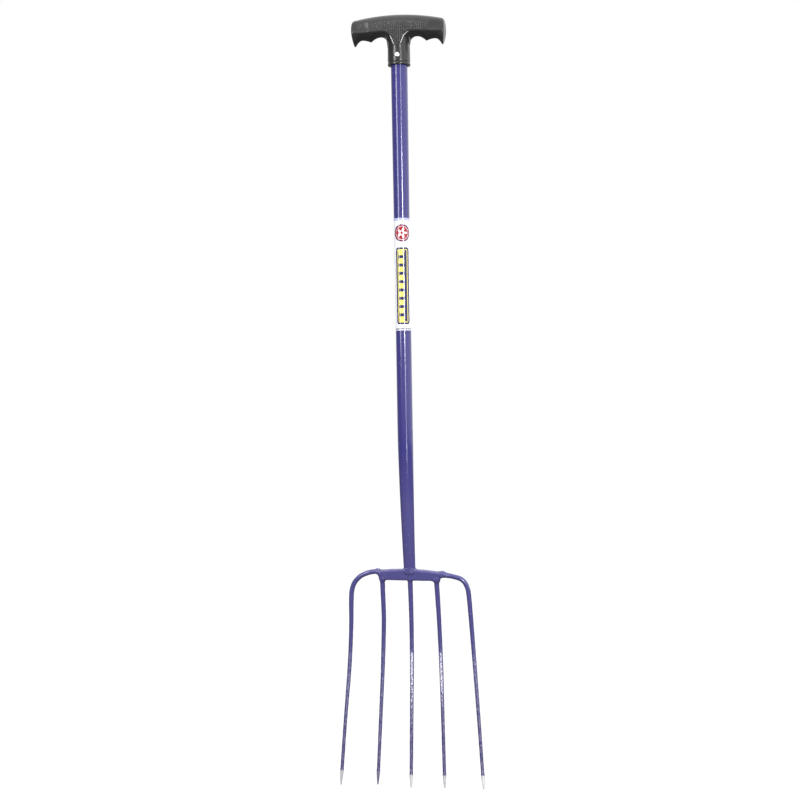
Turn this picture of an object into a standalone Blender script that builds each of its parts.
"""Five-tine steel fork: a tubular shaft with a moulded T grip and a welded head.

The tool stands upright. The shaft runs along +Z, the tine points are at the
bottom and the front of the tool faces -Y. Lengths are in metres.

Everything is drawn around the shaft: the neck's rim is at z = 0 while the
pieces are made, and the whole tool is then moved so that its lowest point is
at z = 0 and its bounding box is centred on the Z axis.
"""

import math

import bmesh
import bpy
from mathutils import Vector

# Clearance between two pieces that touch
GAP = 0.0003

# Shaft: one steel tube, straight for most of its length, then cranked back
TUBE_TOP_RADIUS = 0.0125
TUBE_BODY_RADIUS = 0.01155
TUBE_WALL = 0.0015
STRAIGHT_LENGTH = 0.557
TAPER_END = 0.450
CRANK_LENGTH = 0.250
CRANK_ANGLE = math.radians(8.7)
SWAGE_LENGTH = 0.190
FLAT_LENGTH = 0.070
FOOT_HALF_WIDTH = 0.0089
FOOT_HALF_DEPTH = 0.0066

# T grip: a plastic moulding whose neck takes the tube in a blind socket
SOCKET_DEPTH = 0.050
NECK_RADIUS = 0.0170
NECK_TOP_RADIUS = 0.0162
NECK_STRAIGHT = 0.038
NECK_LENGTH = 0.054
GRIP_HEIGHT = 0.0770
GRIP_HALF_WIDTH = 0.0705
GRIP_HALF_DEPTH = 0.0170
GRIP_END_HALF_DEPTH = 0.0145
CREST_RADIUS = 0.313
SECTION_POWER = 2.4
END_ROUND = 0.0040
# Underside of an arm: the two finger grooves, the ridge between and the end hook
HOOK = (0.0665, 0.0300)
OUTER_GROOVE = (0.0555, 0.0397)
RIDGE = (0.0420, 0.0364)
INNER_GROOVE = (0.0274, 0.0438)
THROAT_HEIGHT = 0.0330

# Rivet through the neck and the tube
RIVET_HEIGHT = 0.0135
RIVET_SHANK_RADIUS = 0.0024
RIVET_HEAD_RADIUS = 0.0040
RIVET_HEAD_HEIGHT = 0.0022

# Printed label wrapped round the tube
LABEL_DROP = 0.229
LABEL_LENGTH = 0.168
LABEL_THICKNESS = 0.0003

# Crossbar: the flat forged shoulder of the head
BAR_HALF_LENGTH = 0.0500
BAR_HEIGHT = 0.0168
BAR_HALF_THICKNESS = 0.0055
BAR_ARCH = 0.0020
BAR_END_BOTTOM = 0.0005
BAR_CORNER = 0.0045
BAR_EDGE = 0.0010

# Tang: the rod on the crossbar that stands inside the tube's foot
TANG_LENGTH = 0.060
TANG_RADIUS = 0.0044
TANG_TOP_RADIUS = 0.0034

# Tines, measured down from the crossbar's underside before they are dished
TINE_REACH = 0.3120
TINE_ROOT_RADIUS = 0.0039
TINE_NECK_RADIUS = 0.0026
TINE_TAPER = 1.3
TINE_STEP = 0.0120
POINT_LENGTH = 0.0190
POINT_RADIUS = 0.0031
POINT_END_RADIUS = 0.0007
DISH_LENGTH = 0.165
DISH_ANGLE = math.radians(17.0)
ROOT_STRAIGHT = 0.0080
INNER_TINE_X = 0.0405
INNER_TINE_FAN = math.radians(2.0)
OUTER_TINE_FAN = math.radians(4.2)
SHOULDER_HEIGHT = 0.0045
SHOULDER_SLOPE = math.radians(16.0)
SHOULDER_RUN = 0.0070
SHOULDER_RADIUS = 0.0320

# Weld beads
BEAD_LENGTH = 0.0060
BEAD_WIDTH = 0.0018
BEAD_TOE = 0.0008
SHAFT_BEAD_LENGTH = 0.0090
SHAFT_BEAD_WIDTH = 0.0030

# Sides of round sections
ROUND = 24
TINE_DETAIL = 4

for old in list(bpy.data.objects):
    bpy.data.objects.remove(old, do_unlink=True)

pieces = bpy.data.collections.new("tine_fork")
cutters = bpy.data.collections.new("cutters")
for collection in (pieces, cutters):
    bpy.context.scene.collection.children.link(collection)


def empty(name, parent=None):
    """A parent for pieces that share a place."""
    holder = bpy.data.objects.new(name, None)
    holder.parent = parent
    pieces.objects.link(holder)
    return holder


def material(name, colour, roughness, metallic=0.0):
    """A plain finish."""
    made = bpy.data.materials.new(name)
    made.use_nodes = True
    shader = made.node_tree.nodes["Principled BSDF"]
    shader.inputs["Base Color"].default_value = (*colour, 1.0)
    shader.inputs["Roughness"].default_value = roughness
    shader.inputs["Metallic"].default_value = metallic
    return made


PAINT = material("blue_violet_paint", (0.085, 0.065, 0.32), 0.35)
PLASTIC = material("black_plastic", (0.03, 0.03, 0.032), 0.5)
STEEL = material("bright_steel", (0.75, 0.75, 0.76), 0.3, 1.0)
LABEL = material("label_film", (0.9, 0.9, 0.92), 0.4)


def finish(piece, parent, surface):
    """Give a piece its parent and its material, and shade its round faces smooth."""
    piece.parent = parent
    piece.data.materials.clear()
    piece.data.materials.append(surface)
    if piece.type == "MESH":
        piece.data.shade_smooth()
        piece.data.set_sharp_from_angle(angle=math.radians(40))
    return piece


def mesh_piece(name, shape, collection=pieces):
    """An object from a bmesh, with its faces turned outwards."""
    bmesh.ops.recalc_face_normals(shape, faces=shape.faces)
    data = bpy.data.meshes.new(name)
    shape.to_mesh(data)
    shape.free()
    piece = bpy.data.objects.new(name, data)
    collection.objects.link(piece)
    return piece


def skin(name, rings, closed, collection=pieces):
    """Faces between rings of equal point counts: a solid with end caps, or a closed wall."""
    shape = bmesh.new()
    loops = [[shape.verts.new(point) for point in ring] for ring in rings]
    pairs = list(zip(loops, loops[1:]))
    if closed:
        pairs.append((loops[-1], loops[0]))
    for first, second in pairs:
        for index in range(len(first)):
            after = (index + 1) % len(first)
            shape.faces.new((first[index], first[after], second[after], second[index]))
    if not closed:
        shape.faces.new(loops[0])
        shape.faces.new(loops[-1])
    return mesh_piece(name, shape, collection)


def turned(name, profile, collection=pieces, steps=ROUND):
    """A turned piece: a closed or axis-to-axis profile of (radius, height) spun round Z."""
    data = bpy.data.meshes.new(name)
    edges = [(i, i + 1) for i in range(len(profile) - 1)]
    if profile[0][0] > 0:
        edges.append((len(profile) - 1, 0))
    data.from_pydata([(radius, 0.0, height) for radius, height in profile], edges, [])
    piece = bpy.data.objects.new(name, data)
    collection.objects.link(piece)
    screw = piece.modifiers.new("turn", "SCREW")
    screw.steps = steps
    screw.render_steps = steps
    screw.use_merge_vertices = True
    screw.merge_threshold = 0.00001
    return piece


def rod(name, points, radii):
    """A round rod along a route, with its own radius at each point and closed ends."""
    data = bpy.data.curves.new(name, "CURVE")
    data.dimensions = "3D"
    data.bevel_depth = 1.0
    data.bevel_resolution = TINE_DETAIL
    data.use_fill_caps = True
    route = data.splines.new("POLY")
    route.points.add(len(points) - 1)
    for target, point, radius in zip(route.points, points, radii):
        target.co = (*point, 1.0)
        target.radius = radius
    piece = bpy.data.objects.new(name, data)
    pieces.objects.link(piece)
    return piece


def boolean(piece, other, operation):
    """Join another shape to a piece, or cut it away. The other shape is only a guide."""
    other.hide_render = True
    other.display_type = "WIRE"
    step = piece.modifiers.new(other.name, "BOOLEAN")
    step.operation = operation
    step.solver = "EXACT"
    step.object = other


def eased(amount):
    """A smooth step from 0 to 1."""
    amount = min(max(amount, 0.0), 1.0)
    return amount * amount * (3.0 - 2.0 * amount)


# ---- The shaft's centre line and section ----

TUBE_LENGTH = STRAIGHT_LENGTH + CRANK_LENGTH
CRANK_RADIUS = CRANK_LENGTH / CRANK_ANGLE


def shaft_at(along):
    """Centre and lean of the shaft at a distance below the tube's top."""
    bent = max(along - STRAIGHT_LENGTH, 0.0)
    lean = bent / CRANK_RADIUS
    height = SOCKET_DEPTH - min(along, STRAIGHT_LENGTH) - CRANK_RADIUS * math.sin(lean)
    return Vector((0.0, CRANK_RADIUS * (1.0 - math.cos(lean)), height)), lean


def tube_half_sizes(along):
    """Half width and half depth of the tube's outside at a distance below its top."""
    body = TUBE_TOP_RADIUS + (TUBE_BODY_RADIUS - TUBE_TOP_RADIUS) * eased(along / TAPER_END)
    swage = max(0.0, 1.0 - (TUBE_LENGTH - along) / SWAGE_LENGTH)
    width = body + (FOOT_HALF_WIDTH - body) * swage
    flat = eased(1.0 - (TUBE_LENGTH - along) / FLAT_LENGTH)
    return width, width + (FOOT_HALF_DEPTH - FOOT_HALF_WIDTH) * flat


def shaft_ring(along, offset):
    """An oval ring round the shaft, a given distance outside the tube's surface."""
    centre, lean = shaft_at(along)
    width, depth = tube_half_sizes(along)
    back = Vector((0.0, math.cos(lean), math.sin(lean)))
    ring = []
    for index in range(ROUND):
        turn = 2.0 * math.pi * index / ROUND
        side = Vector(((width + offset) * math.cos(turn), 0.0, 0.0))
        ring.append(centre + side + back * (depth + offset) * math.sin(turn))
    return ring


def wall_round_shaft(name, stations, inside, outside):
    """A closed wall round the shaft between an inner and an outer offset."""
    rings = [shaft_ring(along, outer) for along, outer in zip(stations, outside)]
    rings += [shaft_ring(along, inside) for along in reversed(stations)]
    return skin(name, rings, closed=True)


def spaced(start, end, count):
    """Evenly spaced values from start to end."""
    return [start + (end - start) * index / (count - 1) for index in range(count)]


base = empty("tool_base")
grip_place = empty("grip_place", base)

# The tube's straight stretch needs few rings, the cranked and swaged foot more
stations = spaced(0.0, STRAIGHT_LENGTH, 9) + spaced(STRAIGHT_LENGTH, TUBE_LENGTH, 17)[1:]
shaft_tube = wall_round_shaft("shaft_tube", stations, -TUBE_WALL, [0.0] * len(stations))
finish(shaft_tube, base, PAINT)

label_top = SOCKET_DEPTH + LABEL_DROP
stations = spaced(label_top, label_top + LABEL_LENGTH, 5)
film = GAP + LABEL_THICKNESS
label = wall_round_shaft("label_wrap", stations, GAP, [film] * len(stations))
finish(label, base, LABEL)

stations = spaced(TUBE_LENGTH - SHAFT_BEAD_LENGTH, TUBE_LENGTH, 5)
swell = [GAP + BEAD_TOE + SHAFT_BEAD_WIDTH * (step / 4) ** 2 for step in range(5)]
shaft_weld = wall_round_shaft("shaft_weld", stations, GAP, swell)
finish(shaft_weld, base, PAINT)

# ---- The T grip ----


def crest(x):
    """Height of the grip's top above the rim."""
    return GRIP_HEIGHT - x * x / (2.0 * CREST_RADIUS)


def groove(x, top, foot):
    """One side of a finger groove: a parabola from its top down to its foot."""
    share = (x - top[0]) / (foot[0] - top[0])
    return top[1] - (top[1] - foot[1]) * share * share


def underside(x):
    """Height of an arm's underside above the rim."""
    x = abs(x)
    if x > OUTER_GROOVE[0]:
        return groove(min(x, HOOK[0]), OUTER_GROOVE, HOOK)
    if x > RIDGE[0]:
        return groove(x, OUTER_GROOVE, RIDGE)
    if x > INNER_GROOVE[0]:
        return groove(x, INNER_GROOVE, RIDGE)
    reach = min((INNER_GROOVE[0] - x) / (INNER_GROOVE[0] - NECK_RADIUS), 1.0)
    return THROAT_HEIGHT + (INNER_GROOVE[1] - THROAT_HEIGHT) * math.sqrt(1.0 - reach * reach)


def arm_ring(x):
    """Rounded section of the grip's arms at one place along them."""
    share = min(max((abs(x) - (GRIP_HALF_WIDTH - END_ROUND)) / END_ROUND, 0.0), 1.0)
    shrink = 1.0 - math.sqrt(1.0 - share * share)
    depth_loss = GRIP_HALF_DEPTH - GRIP_END_HALF_DEPTH
    depth = GRIP_HALF_DEPTH - depth_loss * (x / GRIP_HALF_WIDTH) ** 2
    depth -= 0.55 * depth * shrink
    top = crest(x)
    bottom = underside(x)
    tall = top - bottom
    top -= 0.18 * tall * shrink
    bottom += 0.40 * tall * shrink
    middle = (top + bottom) / 2.0
    ring = []
    for index in range(ROUND):
        turn = 2.0 * math.pi * index / ROUND
        c, s = math.cos(turn), math.sin(turn)
        y = depth * math.copysign(abs(c) ** (2.0 / SECTION_POWER), c)
        z = (top - bottom) / 2.0 * math.copysign(abs(s) ** (2.0 / SECTION_POWER), s)
        ring.append(Vector((x, y, middle + z)))
    return ring


half = [GRIP_HALF_WIDTH - END_ROUND * (1.0 - share) for share in (1.0, 0.97, 0.8, 0.5)]
half += spaced(HOOK[0], OUTER_GROOVE[0], 5)
half += spaced(OUTER_GROOVE[0], RIDGE[0], 5)[1:]
half += spaced(RIDGE[0], INNER_GROOVE[0], 5)[1:]
throat = INNER_GROOVE[0] - NECK_RADIUS
half += [INNER_GROOVE[0] - throat * share for share in (0.3, 0.55, 0.75, 0.9, 0.97, 1.0)]
half += [NECK_RADIUS * 0.5]
arm_places = [-x for x in half] + [0.0] + list(reversed(half))

grip = skin("t_grip", [arm_ring(x) for x in arm_places], closed=False)
neck = turned(
    "neck",
    [
        (0.0, NECK_LENGTH),
        (NECK_TOP_RADIUS, NECK_LENGTH),
        (NECK_RADIUS, NECK_STRAIGHT),
        (NECK_RADIUS, 0.0),
        (0.0, 0.0),
    ],
    cutters,
)
bore = TUBE_TOP_RADIUS + GAP
socket = turned(
    "socket",
    [(0.0, SOCKET_DEPTH + GAP), (bore, SOCKET_DEPTH + GAP), (bore, -0.010), (0.0, -0.010)],
    cutters,
)
hole_reach = 2.0 * NECK_RADIUS
hole = RIVET_SHANK_RADIUS + GAP
rivet_hole = turned(
    "rivet_hole",
    [(0.0, hole_reach), (hole, hole_reach), (hole, -hole_reach), (0.0, -hole_reach)],
    cutters,
    16,
)
rivet_hole.rotation_euler = (math.radians(90), 0.0, 0.0)
rivet_hole.location = (0.0, 0.0, RIVET_HEIGHT)
for guide in (neck, socket, rivet_hole):
    guide.parent = grip_place
boolean(grip, neck, "UNION")
boolean(grip, socket, "DIFFERENCE")
boolean(grip, rivet_hole, "DIFFERENCE")
boolean(shaft_tube, rivet_hole, "DIFFERENCE")
finish(grip, grip_place, PLASTIC)

# The rivet's two domed heads seat on the neck, front and back
seat = NECK_RADIUS + GAP
dome = [(0.0, seat + RIVET_HEAD_HEIGHT)]
for step in range(1, 5):
    turn = math.radians(90) * step / 4
    spread = RIVET_HEAD_RADIUS * math.sin(turn)
    dome.append((spread, seat + RIVET_HEAD_HEIGHT * math.cos(turn)))
shank = [(RIVET_SHANK_RADIUS, seat), (RIVET_SHANK_RADIUS, -seat)]
far_dome = [(radius, -height) for radius, height in reversed(dome)]
rivet = turned("grip_rivet", dome + shank + far_dome, steps=20)
rivet.rotation_euler = (math.radians(90), 0.0, 0.0)
rivet.location = (0.0, 0.0, RIVET_HEIGHT)
finish(rivet, grip_place, STEEL)

# ---- The head: its own frame leans back with the foot of the shaft ----

foot, foot_lean = shaft_at(TUBE_LENGTH)
down = Vector((0.0, math.sin(foot_lean), -math.cos(foot_lean)))
head = empty("head_place", base)
head.rotation_euler = (foot_lean, 0.0, 0.0)
head.location = foot + down * (GAP + BAR_HEIGHT / 2.0)


def bar_top(x):
    """Height of the crossbar's arched top above its centre."""
    return BAR_HEIGHT / 2.0 - BAR_ARCH * (x / BAR_HALF_LENGTH) ** 2


bar_under = -BAR_HEIGHT / 2.0
corner = BAR_HALF_LENGTH - BAR_CORNER
outline = [(x, bar_top(x)) for x in spaced(-BAR_HALF_LENGTH, BAR_HALF_LENGTH, 13)]
outline += [(BAR_HALF_LENGTH, BAR_END_BOTTOM), (corner, bar_under)]
outline += [(-corner, bar_under), (-BAR_HALF_LENGTH, BAR_END_BOTTOM)]

data = bpy.data.curves.new("crossbar", "CURVE")
data.dimensions = "2D"
data.fill_mode = "BOTH"
data.extrude = BAR_HALF_THICKNESS
edge = data.splines.new("POLY")
edge.points.add(len(outline) - 1)
edge.use_cyclic_u = True
for target, (x, z) in zip(edge.points, outline):
    target.co = (x, z, 0.0, 1.0)
crossbar = bpy.data.objects.new("crossbar", data)
crossbar.rotation_euler = (math.radians(90), 0.0, 0.0)
pieces.objects.link(crossbar)
weld_caps = crossbar.modifiers.new("weld_caps", "WELD")
weld_caps.merge_threshold = 0.00001
edges = crossbar.modifiers.new("edges", "BEVEL")
edges.width = BAR_EDGE
edges.segments = 2
edges.limit_method = "ANGLE"
edges.angle_limit = math.radians(30)
finish(crossbar, head, PAINT)

# The tang follows the crank of the tube's foot, in the head's own frame
tang_route = []
for step in range(4):
    height = TANG_LENGTH * step / 3
    sway = height * height / (2.0 * CRANK_RADIUS)
    tang_route.append((0.0, sway, BAR_HEIGHT / 2.0 + GAP + height))
tang_radii = spaced(TANG_RADIUS, TANG_TOP_RADIUS, 4)
tang = rod("head_tang", tang_route, tang_radii)
finish(tang, head, STEEL)


def dished(x, height):
    """Bend a flat point of the head forwards below the crossbar."""
    below = bar_under - height
    if below <= 0.0:
        return Vector((x, 0.0, height))
    bend_radius = DISH_LENGTH / DISH_ANGLE
    turn = min(below, DISH_LENGTH) / bend_radius
    straight = max(below - DISH_LENGTH, 0.0)
    forward = bend_radius * (1.0 - math.cos(turn)) + straight * math.sin(turn)
    drop = bend_radius * math.sin(turn) + straight * math.cos(turn)
    return Vector((x, -forward, bar_under - drop))


def fanned(x, height, fan):
    """Flat route of a tine from the end of its root down to its point."""
    tip = bar_under - TINE_REACH
    steps = round((height - tip) / TINE_STEP)
    heights = spaced(height, tip + POINT_LENGTH, steps)
    heights += [tip + POINT_LENGTH * share for share in (0.95, 0.62, 0.30, 0.0)]
    return [(x + (height - at) * math.tan(fan), at) for at in heights[1:]]


def tine_radius(height):
    """Radius of a tine at a flat height: a long taper, then a stepped point."""
    above_tip = height - bar_under + TINE_REACH
    if above_tip > POINT_LENGTH * 0.97:
        share = min((above_tip - POINT_LENGTH) / (TINE_REACH - POINT_LENGTH), 1.0)
        grow = max(share, 0.0) ** TINE_TAPER
        return TINE_NECK_RADIUS + (TINE_ROOT_RADIUS - TINE_NECK_RADIUS) * grow
    share = above_tip / (POINT_LENGTH * 0.95)
    return POINT_END_RADIUS + (POINT_RADIUS - POINT_END_RADIUS) * min(share, 1.0) ** 0.7


def straight_tine_route(x, fan):
    """A tine that leaves the crossbar's underside."""
    top = bar_under - GAP
    root_end = top - ROOT_STRAIGHT
    return [(x, top), (x, root_end)] + fanned(x, root_end, fan)


def shoulder_tine_route(side):
    """An outer tine: out from the bar's end, round the shoulder and down."""
    x = BAR_HALF_LENGTH + GAP
    route = [(x, SHOULDER_HEIGHT), (x + ROOT_STRAIGHT, SHOULDER_HEIGHT)]
    x += ROOT_STRAIGHT + SHOULDER_RUN * math.cos(SHOULDER_SLOPE)
    height = SHOULDER_HEIGHT - SHOULDER_RUN * math.sin(SHOULDER_SLOPE)
    end_heading = math.radians(90) - OUTER_TINE_FAN
    for heading in spaced(SHOULDER_SLOPE, end_heading, 9):
        across = math.sin(heading) - math.sin(SHOULDER_SLOPE)
        fall = math.cos(SHOULDER_SLOPE) - math.cos(heading)
        route.append((x + SHOULDER_RADIUS * across, height - SHOULDER_RADIUS * fall))
    route += fanned(*route[-1], OUTER_TINE_FAN)
    return [(side * x, height) for x, height in route]


def tine(name, flat_route):
    """One tine, dished and tapered along its route."""
    points = [dished(x, height) for x, height in flat_route]
    made = rod(name, points, [tine_radius(height) for x, height in flat_route])
    return finish(made, head, PAINT)


def bead(name, place, lean):
    """A ring of weld round a tine's root, with its wide face on the crossbar."""
    inside = TINE_ROOT_RADIUS + GAP
    profile = [(inside, 0.0)]
    for share in (0.0, 0.35, 0.7, 1.0):
        spread = BEAD_TOE + BEAD_WIDTH * (1.0 - share) ** 1.5
        profile.append((inside + spread, -BEAD_LENGTH * share))
    profile.append((inside, -BEAD_LENGTH))
    made = turned(name, profile, steps=20)
    made.rotation_euler = (0.0, lean, 0.0)
    made.location = place
    return finish(made, head, PAINT)


tine("tine_centre", straight_tine_route(0.0, 0.0))
bead("weld_centre", (0.0, 0.0, bar_under - GAP), 0.0)
for word, side in (("left", -1), ("right", 1)):
    x = side * INNER_TINE_X
    tine("tine_inner_" + word, straight_tine_route(x, side * INNER_TINE_FAN))
    bead("weld_inner_" + word, (x, 0.0, bar_under - GAP), 0.0)
    tine("tine_outer_" + word, shoulder_tine_route(side))
    root = (side * (BAR_HALF_LENGTH + GAP), 0.0, SHOULDER_HEIGHT)
    bead("weld_outer_" + word, root, -side * math.radians(90))

# ---- Stand the tool on its points, with its box centred on the Z axis ----

bpy.context.view_layer.update()
graph = bpy.context.evaluated_depsgraph_get()
corners = []
for piece in pieces.objects:
    if piece.type != "EMPTY":
        shown = piece.evaluated_get(graph)
        corners += [piece.matrix_world @ vertex.co for vertex in shown.to_mesh().vertices]
        shown.to_mesh_clear()
low = [min(point[axis] for point in corners) for axis in range(3)]
high = [max(point[axis] for point in corners) for axis in range(3)]
base.location = (-(low[0] + high[0]) / 2.0, -(low[1] + high[1]) / 2.0, -low[2])
bpy.context.view_layer.update()
